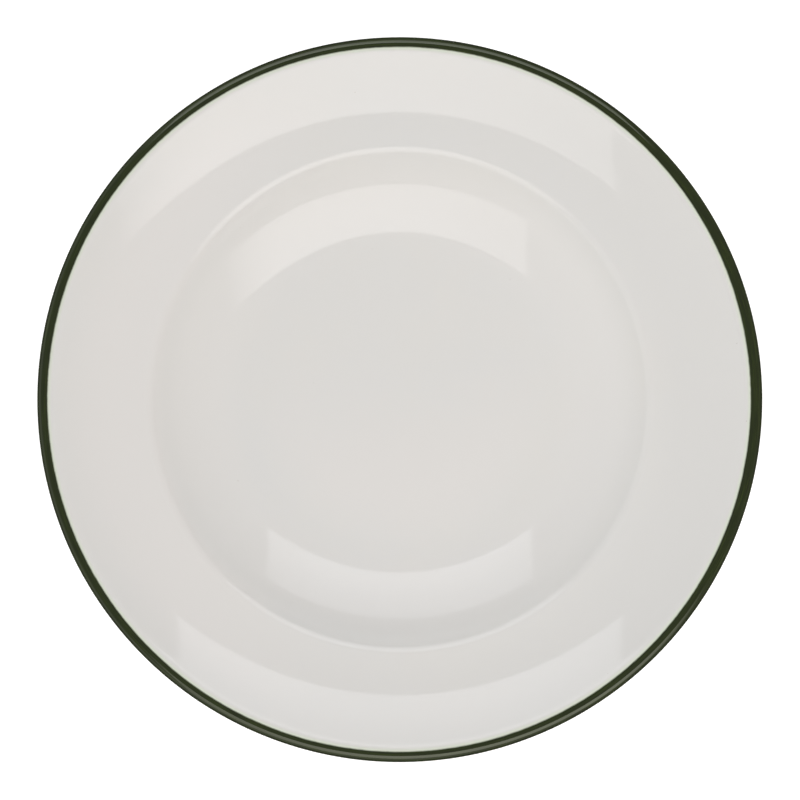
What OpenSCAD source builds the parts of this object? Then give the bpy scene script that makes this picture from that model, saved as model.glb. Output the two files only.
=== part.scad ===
// Rimmed deep plate in glazed porcelain, with a dark green band round its lip.
// Everything is turned about Z. Z = 0 is the surface that the foot ring stands on.

/* [Plate] */
// Outside diameter over the lip
plate_d = 230; // [224:1:236]
// Diameter of the flat floor inside the well
floor_d = 88; // [84:1:89]
// Height of the glazed floor of the well above the table
floor_z = 7.2; // [7:0.1:8]

/* [Well] */
// Radius of the hollow curve between the floor and the shoulder
cove_r = 45.5; // [44:0.5:47]
// Steepest slope of that curve, in degrees, where the shoulder takes over
cove_slope = 49; // [46:1:51]
// Radius of the rounded shoulder where the well meets the rim
shoulder_r = 4.5; // [3.5:0.5:6]

/* [Rim] */
// Slope of the rim, in degrees, where it leaves the shoulder
rim_slope = 5.5; // [4:0.5:7]
// Radius of the hollow curve of the rim
rim_r = 65; // [62:0.5:69]
// Radius of the curve of the rim's underside
rim_back_r = 72; // [69:0.5:77]
// Radius of the broad crest of the lip
crest_r = 6.8; // [5.5:0.1:7.5]
// Radius of the nose at the lip's outer edge
nose_r = 2.2; // [1.9:0.1:2.4]
// Fall of the crest, in degrees, where the nose takes over
nose_slope = 6; // [4:1:10]

/* [Wall] */
// Thickness of the floor and the cove, glaze included
wall_t = 4.2; // [3.8:0.1:4.4]
// Thickness of the rim beside the shoulder, glaze included
rim_t = 4.2; // [3.8:0.1:4.6]
// Radius of the fillet under the shoulder
back_fillet_r = 7; // [5:0.5:9]
// Thickness of the glaze
glaze_t = 0.25; // [0.2:0.05:0.35]

/* [Foot ring] */
// Outside diameter of the foot ring, bare clay
foot_d = 116; // [115:1:120]
// Width of the foot ring, bare clay
foot_w = 3.8; // [3.4:0.1:4.6]
// Rounding of the foot ring's lower edges
foot_edge_r = 0.9; // [0.6:0.1:1.2]
// Radius of the fillets where the foot ring meets the underside
foot_fillet_r = 1.8; // [1.2:0.1:1.9]
// Height of the bare clay that is wiped clean of glaze
bare_h = 1.3; // [1.2:0.1:1.4]

/* [Band] */
// Width of the green band on the face of the plate, measured across
band_w = 3.4; // [2.8:0.1:4]
// Width of the green band under the lip, measured across
band_back_w = 2.6; // [2.2:0.1:3.2]

/* [Hidden] */

clay = "#e8e3d8";
white = "#dcdad6";
green = "#333b24";

max_chord = 2; // longest straight step along an arc
max_turn = 9; // largest turn between two steps, in degrees
$fn = 180;

// An arc is [centre, radius, from angle, to angle, side]. Side is 1 where the solid lies
// inside the arc's circle and -1 where it lies outside, so a depth below the surface
// takes side times that depth off the radius.
function at(c, r, a) = c + r * [cos(a), sin(a)];
function bearing(v) = atan2(v[1], v[0]);
function steps(arc) = max(ceil(abs(arc[3] - arc[2]) / max_turn),
                          ceil(arc[1] * abs(arc[3] - arc[2]) * PI / 180 / max_chord));
function along(arc, depth) =
    [for (i = [0 : steps(arc)])
        at(arc[0], arc[1] - arc[4] * depth, arc[2] + (arc[3] - arc[2]) * i / steps(arc))];
function chain(arcs, depth) = [for (arc = arcs) each along(arc, depth)];
function reversed(points) = [for (i = [len(points) - 1 : -1 : 0]) points[i]];

// Centre of the circle at distance pr from p and qr from q, on the left of the way from p to q
function meeting(p, pr, q, qr) =
    let (gap = norm(q - p), u = (q - p) / gap,
         reach = (gap * gap + pr * pr - qr * qr) / (2 * gap))
    p + reach * u + sqrt(pr * pr - reach * reach) * [-u[1], u[0]];

// Height of a circle's lower half at a distance x from the axis
function low(c, r, x) = c[1] - sqrt(r * r - (x - c[0]) * (x - c[0]));

// Centres, from the floor outwards and back underneath
lip_x = plate_d / 2;
cove_c = [floor_d / 2, floor_z + cove_r];
shoulder_c = at(cove_c, cove_r + shoulder_r, cove_slope - 90);
rim_c = at(shoulder_c, shoulder_r + rim_r, 90 + rim_slope);
nose_x = lip_x - nose_r;
crest_x = nose_x - (crest_r - nose_r) * sin(nose_slope);
crest_c = [crest_x, low(rim_c, rim_r + crest_r, crest_x)];
nose_c = at(crest_c, crest_r - nose_r, 90 - nose_slope);
rim_start = at(shoulder_c, shoulder_r, 90 + rim_slope);
rim_back_c = meeting(rim_start, rim_back_r - rim_t, nose_c, rim_back_r - nose_r);
cove_back_r = cove_r + wall_t;
fillet_c = meeting(rim_back_c, rim_back_r + back_fillet_r, cove_c, cove_back_r + back_fillet_r);

// Angles where one arc takes over from the next
crest_from = bearing(rim_c - crest_c);
nose_to = bearing(nose_c - rim_back_c);
rim_back_to = bearing(fillet_c - rim_back_c);
cove_back_from = bearing(fillet_c - cove_c);

// The foot ring is set out on the bare clay, a glaze thickness under the glazed surface
foot_out = foot_d / 2;
foot_in = foot_out - foot_w;
out_fillet_x = foot_out + foot_fillet_r;
out_fillet_c = [out_fillet_x, low(cove_c, cove_back_r - glaze_t + foot_fillet_r, out_fillet_x)];
in_fillet_x = foot_in - foot_fillet_r;
in_fillet_c = [in_fillet_x, low(cove_c, cove_back_r - glaze_t + foot_fillet_r, in_fillet_x)];

// Where the band starts on the face and ends underneath
band_from = acos((lip_x - band_w - crest_c[0]) / crest_r);
band_to = -acos((lip_x - band_back_w - rim_back_c[0]) / rim_back_r);

// The glazed surfaces
cove = [cove_c, cove_r, -90, cove_slope - 90, -1];
shoulder = [shoulder_c, shoulder_r, 90 + cove_slope, 90 + rim_slope, 1];
rim = [rim_c, rim_r, rim_slope - 90, crest_from - 180, -1];
crest_in = [crest_c, crest_r, crest_from, band_from, 1];
crest_out = [crest_c, crest_r, band_from, 90 - nose_slope, 1];
nose_up = [nose_c, nose_r, 90 - nose_slope, 0, 1];
nose_down = [nose_c, nose_r, 0, nose_to, 1];
rim_back_out = [rim_back_c, rim_back_r, nose_to, band_to, 1];
rim_back_in = [rim_back_c, rim_back_r, band_to, rim_back_to, 1];
under_shoulder = [fillet_c, back_fillet_r, rim_back_to + 180, cove_back_from + 180, -1];
cove_back = [cove_c, cove_back_r, cove_back_from, bearing(out_fillet_c - cove_c), 1];
face = [cove, shoulder, rim, crest_in];
lip = [crest_out, nose_up, nose_down, rim_back_out];
back = [rim_back_in, under_shoulder, cove_back];

// The foot ring's surfaces, as fillets of the bare clay with the glaze lying in their hollows
glazed_fillet_r = foot_fillet_r - glaze_t;
foot_outside = [out_fillet_c, glazed_fillet_r, bearing(cove_c - out_fillet_c), 180, -1];
foot_inside = [in_fillet_c, glazed_fillet_r, 0, bearing(cove_c - in_fillet_c), -1];
recess = [cove_c, cove_back_r, bearing(in_fillet_c - cove_c), -90, 1];
edge_out = [[foot_out - foot_edge_r, foot_edge_r], foot_edge_r, 0, -90, 1];
edge_in = [[foot_in + foot_edge_r, foot_edge_r], foot_edge_r, -90, -180, 1];

// One layer of glaze: the surface and the same surface a glaze thickness down
module layer(outside, inside) rotate_extrude() polygon(concat(outside, reversed(inside)));

// Fired porcelain: the floor, cove, rim and foot ring in one piece of clay
module plate_body() color(clay)
    rotate_extrude() polygon(concat(
        [[0, floor_z - glaze_t]],
        chain(concat(face, lip, back, [foot_outside]), glaze_t),
        chain([edge_out, edge_in], 0),
        chain([foot_inside, recess], glaze_t),
        [[0, floor_z - wall_t + glaze_t]]));

// White glaze over the eating side, from the middle out to the band
module face_glaze() color(white)
    layer(concat([[0, floor_z]], chain(face, 0)),
          concat([[0, floor_z - glaze_t]], chain(face, glaze_t)));

// Green glaze that wraps the lip from the face to the underside
module rim_band() color(green)
    layer(chain(lip, 0), chain(lip, glaze_t));

// White glaze under the rim and the well, down to the wiped edge of the foot ring
module back_glaze() color(white)
    layer(concat(chain(concat(back, [foot_outside]), 0), [[foot_out + glaze_t, bare_h]]),
          concat(chain(concat(back, [foot_outside]), glaze_t), [[foot_out, bare_h]]));

// White glaze in the hollow inside the foot ring
module foot_glaze() color(white)
    layer(concat([[foot_in - glaze_t, bare_h]], chain([foot_inside, recess], 0),
                 [[0, floor_z - wall_t]]),
          concat([[foot_in, bare_h]], chain([foot_inside, recess], glaze_t),
                 [[0, floor_z - wall_t + glaze_t]]));

plate_body();
face_glaze();
rim_band();
back_glaze();
foot_glaze();
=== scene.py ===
from math import acos, atan2, ceil, cos, degrees, pi, radians, sin, sqrt

import bmesh
import bpy
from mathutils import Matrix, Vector


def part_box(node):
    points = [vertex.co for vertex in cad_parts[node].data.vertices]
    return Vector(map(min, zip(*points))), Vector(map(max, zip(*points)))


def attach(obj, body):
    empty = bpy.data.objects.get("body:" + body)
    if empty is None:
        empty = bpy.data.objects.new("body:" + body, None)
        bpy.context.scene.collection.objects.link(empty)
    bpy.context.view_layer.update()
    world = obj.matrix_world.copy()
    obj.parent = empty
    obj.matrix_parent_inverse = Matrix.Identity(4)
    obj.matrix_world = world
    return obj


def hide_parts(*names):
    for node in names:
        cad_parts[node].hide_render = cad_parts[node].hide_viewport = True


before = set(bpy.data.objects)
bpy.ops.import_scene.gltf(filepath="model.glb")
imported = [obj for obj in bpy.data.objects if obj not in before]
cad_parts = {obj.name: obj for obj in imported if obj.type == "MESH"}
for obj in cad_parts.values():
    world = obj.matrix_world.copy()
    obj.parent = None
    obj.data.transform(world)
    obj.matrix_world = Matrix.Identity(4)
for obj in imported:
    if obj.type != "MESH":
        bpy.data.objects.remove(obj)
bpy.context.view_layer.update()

# The plate is a section turned about Z. x runs out from the middle and y is height, in metres

plate = {
    "lipR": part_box("rim_band")[1].x,  # outside radius over the lip
    "floorR": 0.0440,  # flat floor of the well
    "floorZ": 0.0072,
    "coveR": 0.0455,  # hollow curve between the floor and the shoulder
    "coveSlope": 49,  # how steep it gets, in degrees
    "shoulderR": 0.0045,  # rounded edge where the well meets the rim
    "rimSlope": 5.5,  # how much the rim rises where it leaves the shoulder
    "rimR": 0.0650,  # hollow curve of the rim
    "rimBackR": 0.0720,  # curve of its underside
    "crestR": 0.0068,  # broad top of the lip
    "noseR": 0.0022,  # outer edge of the lip
    "noseSlope": 6,  # how much the crest falls where the nose takes over
    "wall": 0.0042,  # floor and cove, glaze included
    "rimWall": 0.0042,  # rim beside the shoulder, glaze included
    "backFilletR": 0.0070,  # under the shoulder
    "glaze": 0.00025,
    "bandFaceW": 0.0034,  # green glaze, measured in from the lip on the face
    "bandBackW": 0.0026,  # and underneath
}
foot = {
    "outR": 0.0580,  # bare clay
    "width": 0.0038,
    "edgeR": 0.0009,
    "filletR": 0.0018,
    "bareZ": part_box("foot_glaze")[0].z,  # the glaze is wiped off below this height
    "beadR": 0.00018,  # rounding of the glaze's wiped edge
}
fineness = {
    "turnSteps": 288,
    "shownStep": 1.5,  # degrees between two points of a curve that shows
    "hiddenStep": 3.0,  # and of one that lies under the glaze or far off
    "shortest": 0.00012,  # no two points of a curve come closer than this
    "same": 0.00003,  # a line shorter than this isn't drawn
    "weld": 1e-6,  # points nearer than this are merged
    "sharp": 40,  # an edge that turns further than this, in degrees, isn't smoothed
}


def onCircle(centre, radius, angle):
    return centre + radius * Vector((cos(radians(angle)), sin(radians(angle))))


def bearing(v):
    return degrees(atan2(v.y, v.x))


def lowOn(centre, radius, x):  # the point of a circle's lower half at a distance x from the axis
    return Vector((x, centre.y - sqrt(radius ** 2 - (x - centre.x) ** 2)))


def meeting(p, pRadius, q, qRadius):  # where two circles cross, on the left of the way from p to q
    gap = (q - p).length
    way = (q - p) / gap
    reach = (gap ** 2 + pRadius ** 2 - qRadius ** 2) / (2 * gap)
    return p + reach * way + sqrt(pRadius ** 2 - reach ** 2) * Vector((-way.y, way.x))


def arc(centre, radius, start, end, clay):  # clay is 1 where it fills the circle, -1 outside it
    return {"centre": centre, "radius": radius, "start": start, "end": end, "clay": clay}


# Centres, from the floor outwards and back underneath
glaze = plate["glaze"]
coveC = Vector((plate["floorR"], plate["floorZ"] + plate["coveR"]))
shoulderC = onCircle(coveC, plate["coveR"] + plate["shoulderR"], plate["coveSlope"] - 90)
rimC = onCircle(shoulderC, plate["shoulderR"] + plate["rimR"], 90 + plate["rimSlope"])
rimStart = onCircle(shoulderC, plate["shoulderR"], 90 + plate["rimSlope"])
noseX = plate["lipR"] - plate["noseR"]
crestX = noseX - (plate["crestR"] - plate["noseR"]) * sin(radians(plate["noseSlope"]))
crestC = lowOn(rimC, plate["rimR"] + plate["crestR"], crestX)
noseC = onCircle(crestC, plate["crestR"] - plate["noseR"], 90 - plate["noseSlope"])
rimBackC = meeting(rimStart, plate["rimBackR"] - plate["rimWall"],
                   noseC, plate["rimBackR"] - plate["noseR"])
coveBackR = plate["coveR"] + plate["wall"]
filletC = meeting(rimBackC, plate["rimBackR"] + plate["backFilletR"],
                  coveC, coveBackR + plate["backFilletR"])
underZ = plate["floorZ"] - plate["wall"]  # middle of the underside
footInR = foot["outR"] - foot["width"]
clayBackR = coveBackR - glaze
outFilletC = lowOn(coveC, clayBackR + foot["filletR"], foot["outR"] + foot["filletR"])
inFilletC = lowOn(coveC, clayBackR + foot["filletR"], footInR - foot["filletR"])

# Angles where one curve hands over to the next
crestFrom = bearing(rimC - crestC)
noseTo = bearing(noseC - rimBackC)
rimBackTo = bearing(filletC - rimBackC)
coveBackFrom = bearing(filletC - coveC)
bandFrom = degrees(acos((plate["lipR"] - plate["bandFaceW"] - crestC.x) / plate["crestR"]))
bandTo = -degrees(acos((plate["lipR"] - plate["bandBackW"] - rimBackC.x) / plate["rimBackR"]))

# The glazed surfaces in turn, and the bare edges of the foot
faceArcs = [
    arc(coveC, plate["coveR"], -90, plate["coveSlope"] - 90, -1),
    arc(shoulderC, plate["shoulderR"], 90 + plate["coveSlope"], 90 + plate["rimSlope"], 1),
    arc(rimC, plate["rimR"], plate["rimSlope"] - 90, crestFrom - 180, -1),
    arc(crestC, plate["crestR"], crestFrom, bandFrom, 1),
]
lipArcs = [
    arc(crestC, plate["crestR"], bandFrom, 90 - plate["noseSlope"], 1),
    arc(noseC, plate["noseR"], 90 - plate["noseSlope"], 0, 1),
    arc(noseC, plate["noseR"], 0, noseTo, 1),
    arc(rimBackC, plate["rimBackR"], noseTo, bandTo, 1),
]
filletR = foot["filletR"] - glaze
backArcs = [
    arc(rimBackC, plate["rimBackR"], bandTo, rimBackTo, 1),
    arc(filletC, plate["backFilletR"], rimBackTo + 180, coveBackFrom + 180, -1),
    arc(coveC, coveBackR, coveBackFrom, bearing(outFilletC - coveC), 1),
    arc(outFilletC, filletR, bearing(coveC - outFilletC), 180, -1),
]
recessArcs = [
    arc(inFilletC, filletR, 0, bearing(coveC - inFilletC), -1),
    arc(coveC, coveBackR, bearing(inFilletC - coveC), -90, 1),
]
footArcs = [
    arc(Vector((foot["outR"] - foot["edgeR"], foot["edgeR"])), foot["edgeR"], 0, -90, 1),
    arc(Vector((footInR + foot["edgeR"], foot["edgeR"])), foot["edgeR"], -90, -180, 1),
]


class Section:  # a line drawn in the XZ plane and then turned about Z
    def __init__(self, x, z):
        self.mesh = bmesh.new()
        self.tip = self.mesh.verts.new((x, 0, z))

    def lineTo(self, x, z):
        grown = bmesh.ops.extrude_vert_indiv(self.mesh, verts=[self.tip])
        step = Vector((x, 0, z)) - self.tip.co
        self.tip = grown["verts"][0]
        bmesh.ops.translate(self.mesh, vec=step, verts=[self.tip])

    def follow(self, arcs, depth, coarsest, back=False):  # depth is measured into the clay
        for curve in reversed(arcs) if back else arcs:
            radius = curve["radius"] - curve["clay"] * depth
            ends = [curve["start"], curve["end"]]
            if back:
                ends.reverse()
            start = onCircle(curve["centre"], radius, ends[0])
            if (Vector((start.x, 0, start.y)) - self.tip.co).length > fineness["same"]:
                self.lineTo(start.x, start.y)
            step = max(coarsest, degrees(fineness["shortest"] / radius))
            grown = bmesh.ops.spin(
                self.mesh, geom=[self.tip], cent=(curve["centre"].x, 0, curve["centre"].y),
                axis=(0, -1, 0), angle=radians(ends[1] - ends[0]),
                steps=ceil(abs(ends[1] - ends[0]) / step), use_duplicate=False)
            self.tip = next(g for g in grown["geom_last"] if isinstance(g, bmesh.types.BMVert))

    def shown(self, arcs):
        self.follow(arcs, 0, fineness["shownStep"])

    def hidden(self, arcs, back=True):  # where the clay and the glaze meet
        self.follow(arcs, glaze, fineness["hiddenStep"], back)

    def turned(self, name, upwards=False):
        mesh = self.mesh
        bmesh.ops.spin(mesh, geom=mesh.verts[:] + mesh.edges[:], cent=(0, 0, 0), axis=(0, 0, 1),
                       angle=2 * pi, steps=fineness["turnSteps"], use_merge=True)
        bmesh.ops.remove_doubles(mesh, verts=mesh.verts[:], dist=fineness["weld"])
        bmesh.ops.recalc_face_normals(mesh, faces=mesh.faces[:])
        mesh.faces.ensure_lookup_table()
        if upwards and mesh.faces[0].normal.z < 0:
            bmesh.ops.reverse_faces(mesh, faces=mesh.faces[:])
        for face in mesh.faces:
            face.smooth = True
        for edge in mesh.edges:
            edge.smooth = edge.calc_face_angle(pi) < radians(fineness["sharp"])
        data = bpy.data.meshes.new(name)
        mesh.to_mesh(data)
        mesh.free()
        piece = bpy.data.objects.new(name, data)
        bpy.context.scene.collection.objects.link(piece)
        return piece


def finished(piece, node, material):  # the piece stands for a CAD node
    piece.data.materials.append(material)
    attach(piece, "root")
    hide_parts(node)
    low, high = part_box(node)
    corners = [Vector(c) for c in piece.bound_box]
    lowest = Vector([min(c[i] for c in corners) for i in range(3)])
    highest = Vector([max(c[i] for c in corners) for i in range(3)])
    apart = max((lowest - low).length, (highest - high).length)
    print(f"{piece.name}: {len(piece.data.polygons)} faces, {apart * 1000:.3f} mm off {node}'s box")


def makeBody():
    line = Section(0, plate["floorZ"] - glaze)
    line.hidden(faceArcs + lipArcs + backArcs, back=False)
    line.shown(footArcs)
    line.hidden(recessArcs, back=False)
    line.lineTo(0, underZ + glaze)
    return line.turned("porcelainBody")


def makeFaceGlaze():
    line = Section(0, plate["floorZ"])
    line.shown(faceArcs)
    line.hidden(faceArcs)
    line.lineTo(0, plate["floorZ"] - glaze)
    return line.turned("faceGlaze")


def makeRimBand():
    start = onCircle(crestC, plate["crestR"], bandFrom)
    line = Section(start.x, start.y)
    line.shown(lipArcs)
    line.hidden(lipArcs)
    line.lineTo(start.x, start.y)
    return line.turned("rimBand")


def makeBackGlaze():
    start = onCircle(rimBackC, plate["rimBackR"], bandTo)
    beadC = Vector((foot["outR"] + glaze - foot["beadR"], foot["bareZ"] + foot["beadR"]))
    line = Section(start.x, start.y)
    line.shown(backArcs + [arc(beadC, foot["beadR"], 0, -90, 1)])
    line.lineTo(foot["outR"], foot["bareZ"])
    line.hidden(backArcs)
    line.lineTo(start.x, start.y)
    return line.turned("backGlaze")


def makeFootGlaze():
    beadC = Vector((footInR - glaze + foot["beadR"], foot["bareZ"] + foot["beadR"]))
    line = Section(0, underZ + glaze)
    line.hidden(recessArcs)
    line.lineTo(footInR, foot["bareZ"])
    line.shown([arc(beadC, foot["beadR"], -90, -180, 1)] + recessArcs)
    line.lineTo(0, underZ)
    return line.turned("footGlaze")


class Wire:  # a socket that Python's operators work on, each adding its Math node
    def __init__(self, bench, socket):
        self.bench = bench
        self.socket = socket

    def also(self, output):  # another output of the same node
        return Wire(self.bench, self.socket.node.outputs[output])

    def __add__(self, other):
        return self.bench.maths("ADD", self, other)

    def __sub__(self, other):
        return self.bench.maths("SUBTRACT", self, other)

    def __rsub__(self, other):
        return self.bench.maths("SUBTRACT", other, self)

    def __mul__(self, other):
        return self.bench.maths("MULTIPLY", self, other)

    def __truediv__(self, other):
        return self.bench.maths("DIVIDE", self, other)

    def __pow__(self, other):
        return self.bench.maths("POWER", self, other)

    __radd__ = __add__
    __rmul__ = __mul__


class Bench:  # one node tree, cleared and built up again
    def __init__(self, tree):
        self.tree = tree
        tree.nodes.clear()

    def node(self, kind, settings=None, inputs=None, output=0):
        made = self.tree.nodes.new(kind)
        for name, value in (settings or {}).items():
            setattr(made, name, value)
        for name, value in (inputs or {}).items():
            if isinstance(value, Wire):
                self.tree.links.new(value.socket, made.inputs[name])
            else:
                made.inputs[name].default_value = value
        return Wire(self, made.outputs[output]) if len(made.outputs) else None

    def maths(self, operation, *values):
        return self.node("ShaderNodeMath", {"operation": operation}, dict(enumerate(values)))

    def vector(self, operation, *values, output=0):
        return self.node("ShaderNodeVectorMath", {"operation": operation},
                         dict(enumerate(values)), output)

    def mixed(self, first, second, share):  # two colours, with this share of the second
        first, second = (c if isinstance(c, Wire) else (*c, 1) for c in (first, second))
        return self.node("ShaderNodeMix", {"data_type": "RGBA", "clamp_factor": True},
                         {0: share, 6: first, 7: second}, output=2)

    def rise(self, value, start, end):  # smoothly from 0 at start to 1 at end, whichever is higher
        return self.node("ShaderNodeMapRange", {"interpolation_type": "SMOOTHSTEP"},
                         {"Value": value, "From Min": start, "From Max": end})

    def flat(self, where):  # the same place at no height
        return self.vector("MULTIPLY", where, (1, 1, 0))

    def radius(self, where):  # distance from the axis, in metres
        return self.vector("LENGTH", self.flat(where), output="Value")

    def noise(self, where, size, detail=2.0):  # size of the patches, in metres
        return self.node("ShaderNodeTexNoise", None,
                         {"Vector": where, "Scale": 1 / size, "Detail": detail}, output="Fac")

    def bump(self, height):  # in metres
        return self.node("ShaderNodeBump", None,
                         {"Strength": 1.0, "Distance": 1.0, "Height": height})

    def surface(self, shader):
        self.node("ShaderNodeOutputMaterial", None, {"Surface": shader})


def newMaterial(name):
    material = bpy.data.materials.new(name)
    material.use_nodes = True
    return material, Bench(material.node_tree)


# The band was laid on a turning plate, so its edge is a circle a hair off centre and out of round
bandEdge = {
    "face": {"centre": (-0.00022, 0.00009), "radii": (0.11133, 0.11158)},
    "back": {"centre": (0.00015, 0.00020), "radii": (0.11250, 0.11228)},
    "soft": 0.00030,  # the colour fades out over this much on each side of the edge
    "ragged": 0.0016,  # spread of the edge's small strays, as a share of its radius
    "raggedSize": 0.0021,  # length of one of them
    "stain": 0.0018,  # width of the faint green that has bled into the white beside it
    "stained": (0.800, 0.864, 0.725),
    "stainFade": 2,  # the higher, the faster it fades away from the edge
}


def bandCover(bench, where, side):  # how much green lies here, and how much of the stain
    edge = bandEdge[side]
    across = bench.node("ShaderNodeMapping", {"vector_type": "TEXTURE"}, {
        "Vector": bench.flat(where), "Location": (*edge["centre"], 0),
        "Scale": (*edge["radii"], 1)})
    stray = (bench.noise(where, bandEdge["raggedSize"]) - 0.5) * bandEdge["ragged"]
    past = bench.vector("LENGTH", across, output="Value") + stray
    soft, stain = bandEdge["soft"] / plate["lipR"], bandEdge["stain"] / plate["lipR"]
    cover = bench.rise(past, 1 - soft, 1 + soft)
    return cover, bench.rise(past, 1 - stain, 1) ** bandEdge["stainFade"]


whiteGlaze = {
    "cool": (0.866, 0.867, 0.855),
    "warm": (0.882, 0.872, 0.845),
    "patch": 0.034,  # size of the cool and warm patches
    "finer": 6,  # the flecks in them are this many times smaller
    "patchPull": 1.7,  # how much the patches warm the glaze
    "fleckPull": 0.5,  # and the flecks
    "coolPull": 0.6,  # taken off again, so that as much is cool as is warm
    "speck": (0.42, 0.37, 0.30),
    "speckR": 0.00017,
    "speckCore": 0.6,  # share of that radius within which a speck is at its strongest
    "speckShare": 0.55,  # how much of its colour shows there
    "cell": 0.012,  # a speck is looked for in each cell of this size
    "ior": 1.52,
    "sheen": (1, 1, 1),
}
# Painted light and shade on the white, laid on in this order. A fade goes from nothing at its
# first place to all at its second, out from the axis or along X or Y, and lean adds more along X
paintedLightAndShade = [
    {"colour": (0.905, 0.895, 0.875), "share": 0.8,  # painted light: lighter in the hollow of the well
     "fades": [("out", 0.048, 0.062), ("out", 0.080, 0.070)]},
    {"colour": (0.842, 0.838, 0.820), "share": 0.5, "lean": 4,  # painted shade: darker over the rim, more so towards the right
     "fades": [("out", 0.076, 0.092)]},
    {"colour": (0.903, 0.886, 0.866), "share": 0.8,  # painted light: lighter on the front half of the floor
     "fades": [("Y", 0.020, -0.030), ("out", 0.052, 0.030)]},
    {"colour": (0.903, 0.886, 0.866), "share": 0.9,  # painted light: lighter on the left of the rim
     "fades": [("X", -0.015, -0.075), ("out", 0.074, 0.080), ("out", 0.113, 0.094)]},
]


def whiteColour(bench, where):
    place = bench.node("ShaderNodeSeparateXYZ", None, {0: where})
    measures = {"out": bench.radius(where), "X": place, "Y": place.also("Y")}
    patches = bench.noise(where, whiteGlaze["patch"])
    flecks = bench.noise(where, whiteGlaze["patch"] / whiteGlaze["finer"], 3.0)
    warmth = patches * whiteGlaze["patchPull"] + flecks * whiteGlaze["fleckPull"]
    warmth = warmth - whiteGlaze["coolPull"]
    colour = bench.mixed(whiteGlaze["cool"], whiteGlaze["warm"], warmth)
    # painted light and shade, laid over the glaze's own colour
    for paintedShading in paintedLightAndShade:
        share = paintedShading["share"]
        if "lean" in paintedShading:
            share = share + place * paintedShading["lean"]
        for measure, start, end in paintedShading["fades"]:
            share = share * bench.rise(measures[measure], start, end)
        colour = bench.mixed(colour, paintedShading["colour"], share)
    cell = whiteGlaze["cell"]
    away = bench.node("ShaderNodeTexVoronoi", None, {"Vector": where, "Scale": 1 / cell},
                      output="Distance")
    reach = whiteGlaze["speckR"] / cell
    speck = bench.rise(away, reach, reach * whiteGlaze["speckCore"])
    return bench.mixed(colour, whiteGlaze["speck"], speck * whiteGlaze["speckShare"])


greenGlaze = {
    "deep": (0.0105, 0.0178, 0.0028),
    "thin": (0.0240, 0.0385, 0.0040),
    "streak": (0.009, 0.0004),  # length and width of the brush's streaks
    "streakPull": 2.6,  # how much the streaks thin the green
    "deepPull": 0.85,  # taken off again
    "turn": 0.0004,  # the face gives way to the back over this much on each side of the nose
    "ior": 1.65,
    "sheen": (0.96, 1.0, 0.84),  # tint of its reflections
}


def greenColour(bench, where):
    length, width = greenGlaze["streak"]
    turns = plate["lipR"] / length
    around = bench.vector("MULTIPLY", bench.vector("NORMALIZE", bench.flat(where)), [turns] * 3)
    across = bench.node("ShaderNodeCombineXYZ", None, {"Z": bench.radius(where) / width})
    streaks = bench.noise(bench.vector("ADD", around, across), 1.0)
    share = streaks * greenGlaze["streakPull"] - greenGlaze["deepPull"]
    return bench.mixed(greenGlaze["deep"], greenGlaze["thin"], share)


gloss = {  # of both glazes
    "roughness": 0.045,
    "dull": 0.03,  # added to it in small flecks
    "dullSize": 0.004,
    "swell": 0.030,  # length of the slow waves in the surface
    "swellHeight": 2.2e-5,
    "peel": 0.0015,  # length of the fine ones
    "peelHeight": 3.0e-7,
}


def glossy(bench, where, colour, glazing):
    dull = bench.noise(where, gloss["dullSize"]) * gloss["dull"]
    swell = bench.noise(where, gloss["swell"], 1.0) * gloss["swellHeight"]
    peel = bench.noise(where, gloss["peel"], 1.0) * gloss["peelHeight"]
    bench.surface(bench.node("ShaderNodeBsdfPrincipled", None, {
        "Base Color": colour, "Roughness": gloss["roughness"] + dull, "IOR": glazing["ior"],
        "Specular Tint": (*glazing["sheen"], 1), "Normal": bench.bump(swell + peel)}))


def banded(bench, where, side):  # white glaze, the stain that bled into it and the green itself
    cover, stain = bandCover(bench, where, side)
    stained = bench.mixed(whiteColour(bench, where), bandEdge["stained"], stain)
    return bench.mixed(stained, greenColour(bench, where), cover)


def whiteFinish(name, side=None):
    material, bench = newMaterial(name)
    where = bench.node("ShaderNodeTexCoord", output="Object")
    colour = banded(bench, where, side) if side else whiteColour(bench, where)
    glossy(bench, where, colour, whiteGlaze)
    return material


def greenFinish(name):
    material, bench = newMaterial(name)
    where = bench.node("ShaderNodeTexCoord", output="Object")
    height = bench.node("ShaderNodeSeparateXYZ", None, {0: where}, output="Z")
    onFace = bench.rise(height, noseC.y - greenGlaze["turn"], noseC.y + greenGlaze["turn"])
    colour = bench.mixed(banded(bench, where, "back"), banded(bench, where, "face"), onFace)
    glossy(bench, where, colour, greenGlaze)
    return material


bareClay = {
    "clay": (0.70, 0.65, 0.56),
    "worn": (0.52, 0.49, 0.44),
    "wornZ": (0.00030, 0.00002),  # wear starts below the first height and is full at the second
    "patch": 0.007,  # it comes in patches of this size
    "patchEdge": (0.38, 0.62),  # the closer these are, the crisper the patches
    "wornShare": 0.8,  # how much of the worn colour shows in a patch
    "grain": 0.00022,
    "grainShare": 0.25,  # how much the grain darkens the clay
    "grainHeight": 1.4e-5,
    "roughness": 0.86,
    "rubbed": 0.25,  # taken off the roughness where it is worn
    "ior": 1.45,
}


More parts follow.
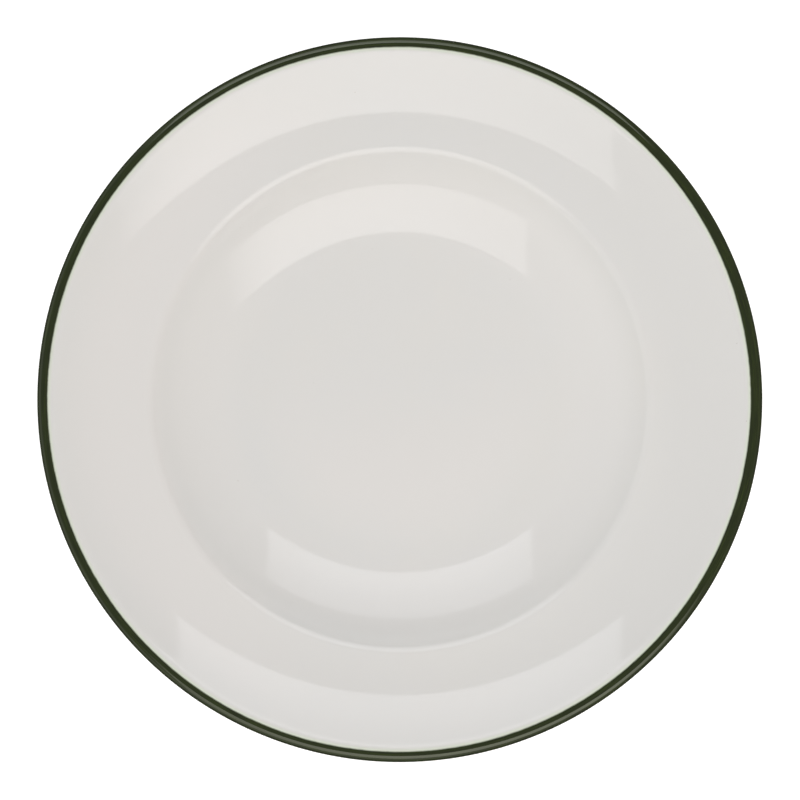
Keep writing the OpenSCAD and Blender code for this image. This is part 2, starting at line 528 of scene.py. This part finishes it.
def bareFinish(name):
    material, bench = newMaterial(name)
    where = bench.node("ShaderNodeTexCoord", output="Object")
    height = bench.node("ShaderNodeSeparateXYZ", None, {0: where}, output="Z")
    grain = bench.noise(where, bareClay["grain"], 3.0)
    patches = bench.noise(where, bareClay["patch"], 3.0)
    worn = bench.rise(height, *bareClay["wornZ"]) * bench.rise(patches, *bareClay["patchEdge"])
    share = worn * bareClay["wornShare"] + grain * bareClay["grainShare"]
    bench.surface(bench.node("ShaderNodeBsdfPrincipled", None, {
        "Base Color": bench.mixed(bareClay["clay"], bareClay["worn"], share),
        "Roughness": bareClay["roughness"] - worn * bareClay["rubbed"], "IOR": bareClay["ior"],
        "Normal": bench.bump(grain * bareClay["grainHeight"])}))
    return material


finished(makeBody(), "plate_body", bareFinish("bareClay"))
finished(makeFaceGlaze(), "face_glaze", whiteFinish("whiteGlazeFace", "face"))
finished(makeRimBand(), "rim_band", greenFinish("greenGlazeBand"))
finished(makeBackGlaze(), "back_glaze", whiteFinish("whiteGlazeBack", "back"))
finished(makeFootGlaze(), "foot_glaze", whiteFinish("whiteGlazeFoot"))

# A softbox is a panel that leans over the plate with its top edge nearest. Each fade takes a
# share of the light off between two places along the panel, from 0 to 1, across (X) or up (Y)
softboxes = {
    "near": {"side": -1, "topY": 0.338, "left": -0.355, "right": 0.615,
             "level": 1.94, "colour": (1.0, 0.960, 0.950),
             "fades": [("X", 0.42, 0.0, 0.42), ("X", 0.65, 1.1, 0.90), ("Y", 0.30, -0.1, 0.30)]},
    "far": {"side": 1, "topY": 0.425, "left": -0.440, "right": 0.440,
            "level": 1.82, "colour": (0.950, 0.958, 1.0),
            "fades": [("X", 0.30, 0.0, 0.18), ("X", 0.70, 1.0, 0.18), ("Y", 0.85, -0.25, 0.50)]},
}
panel = {"topZ": 0.92, "tall": 0.655, "lean": 14}  # of both softboxes, lean in degrees


def makeSoftbox(name):
    box = softboxes[name]
    lean = radians(panel["lean"])
    light = bpy.data.lights.new(name, "AREA")
    light.shape = "RECTANGLE"
    light.size = box["right"] - box["left"]
    light.size_y = panel["tall"]
    light.energy = box["level"] * pi * light.size * light.size_y
    light.use_nodes = True
    bench = Bench(light.node_tree)
    place = bench.node("ShaderNodeNewGeometry", output="Parametric")
    along = bench.node("ShaderNodeSeparateXYZ", None, {0: place})
    glow = 1
    for axis, full, dim, share in box["fades"]:
        glow = glow * (1 - share * bench.rise(along.also(axis), full, dim))
    shine = bench.node("ShaderNodeEmission", None, {
        "Color": (*box["colour"], 1), "Strength": glow})
    bench.node("ShaderNodeOutputLight", None, {"Surface": shine})
    lamp = bpy.data.objects.new(name, light)
    bpy.context.scene.collection.objects.link(lamp)
    lamp.location = (
        (box["left"] + box["right"]) / 2,
        box["side"] * (box["topY"] + sin(lean) * panel["tall"] / 2),
        panel["topZ"] - cos(lean) * panel["tall"] / 2,
    )
    lamp.rotation_euler = (pi / 2 - lean, 0, pi if box["side"] > 0 else 0)


studio = {
    "floorZ": -0.0001,  # a hair under the foot
    "floorR": 3.0,
    "cornerR": 1.5,  # the floor curves up into the wall
    "wallH": 2.5,
    "grey": 0.85,  # of the paper
    "roughness": 0.9,
    "under": 0.20,  # painted shade: the paper glows less beneath the plate
    # Its glow further out: where it starts to change, where it has changed, and to what. It
    # burns out to white beside the plate, painting light over the plate's shadow there
    "rings": [(0.070, 0.106, 0.57), (0.200, 0.360, 0.36), (0.400, 1.300, 0.60)],
}


def paper(bench, glow):  # glow is a colour
    grey = studio["grey"]
    return bench.node("ShaderNodeBsdfPrincipled", None, {
        "Base Color": (grey, grey, grey, 1), "Roughness": studio["roughness"],
        "Specular IOR Level": 0.0, "Emission Color": glow, "Emission Strength": 1.0})


def floorPaper(name):  # one-sided, so that the foot shows from below
    material, bench = newMaterial(name)
    radius = bench.radius(bench.node("ShaderNodeTexCoord", output="Object"))
    # painted shade beneath the plate and painted light over its shadow beside it, as glow of the
    # paper
    glow = last = studio["under"]
    for start, end, level in studio["rings"]:
        glow = glow + bench.rise(radius, start, end) * (level - last)
        last = level
    front = paper(bench, bench.mixed((0, 0, 0), (1, 1, 1), glow))
    clear = bench.node("ShaderNodeBsdfTransparent")
    behind = bench.node("ShaderNodeNewGeometry", output="Backfacing")
    bench.surface(bench.node("ShaderNodeMixShader", None, {0: behind, 1: front, 2: clear}))
    return material


def wallPaper(name):  # as the floor's far end
    material, bench = newMaterial(name)
    level = studio["rings"][-1][-1]
    bench.surface(paper(bench, (level, level, level, 1)))
    return material


def makeFloor():
    line = Section(0, studio["floorZ"])
    line.lineTo(studio["floorR"], studio["floorZ"])
    floor = line.turned("studioFloor", upwards=True)
    floor.data.materials.append(floorPaper("floorPaper"))
    floor.visible_glossy = False


def makeWall():  # seen behind the plate from low down; it casts no light of its own
    line = Section(studio["floorR"], studio["floorZ"])
    corner = Vector((studio["floorR"], studio["cornerR"]))
    line.follow([arc(corner, studio["cornerR"], -90, 0, -1)], 0, fineness["hiddenStep"])
    line.lineTo(studio["floorR"] + studio["cornerR"], studio["wallH"])
    wall = line.turned("studioWall")
    wall.data.materials.append(wallPaper("wallPaper"))
    wall.visible_diffuse = False
    wall.visible_glossy = False


room = {
    "left": (0.99, 0.995, 0.97),
    "right": (0.98, 0.94, 0.86),
    "above": 0.302,
    "low": (0.75, 0.40),  # it brightens between these heights, where 1 is overhead
    "brighter": 0.22,
    "lessRight": 0.16,  # taken off what it brightens by, towards the right
    "lessBack": 0.14,  # and towards the back
    "below": 0.16,  # only reflections see this far down
    "horizon": 0.1,  # they fade into each other this far above and below it
}


def makeRoom():  # dim surroundings, brighter low down in front and on the left
    world = bpy.data.worlds.new("room")
    bpy.context.scene.world = world
    world.use_nodes = True
    bench = Bench(world.node_tree)
    where = bench.node("ShaderNodeTexCoord", output="Generated")
    x = bench.node("ShaderNodeSeparateXYZ", None, {0: where}, output="X")
    y, z = x.also("Y"), x.also("Z")
    brighter = room["brighter"] - room["lessRight"] * x - room["lessBack"] * y
    level = room["above"] + bench.rise(z, *room["low"]) * brighter
    aboveGround = bench.rise(z, -room["horizon"], room["horizon"])
    level = room["below"] + aboveGround * (level - room["below"])
    colour = bench.mixed(room["left"], room["right"], 0.5 + 0.5 * x)
    shine = bench.node("ShaderNodeBackground", None, {"Color": colour, "Strength": level})
    bench.node("ShaderNodeOutputWorld", None, {"Surface": shine})


makeFloor()
makeWall()
makeRoom()
for lampName in softboxes:
    makeSoftbox(lampName)
print("studio ready")

view = {
    "height": 1.4097,  # above the nose of the lip
    "aim": (0.00007, -0.00011),
    "lens": 200,
    "farthest": 50,  # nothing beyond this is drawn
}
camera = bpy.data.objects.new("camera", bpy.data.cameras.new("camera"))
bpy.context.scene.collection.objects.link(camera)
camera.data.lens = view["lens"]
camera.data.clip_end = view["farthest"]
camera.location = (*view["aim"], noseC.y + view["height"])
bpy.context.scene.camera = camera
bpy.context.scene.view_settings.view_transform = "Standard"
print("camera ready")
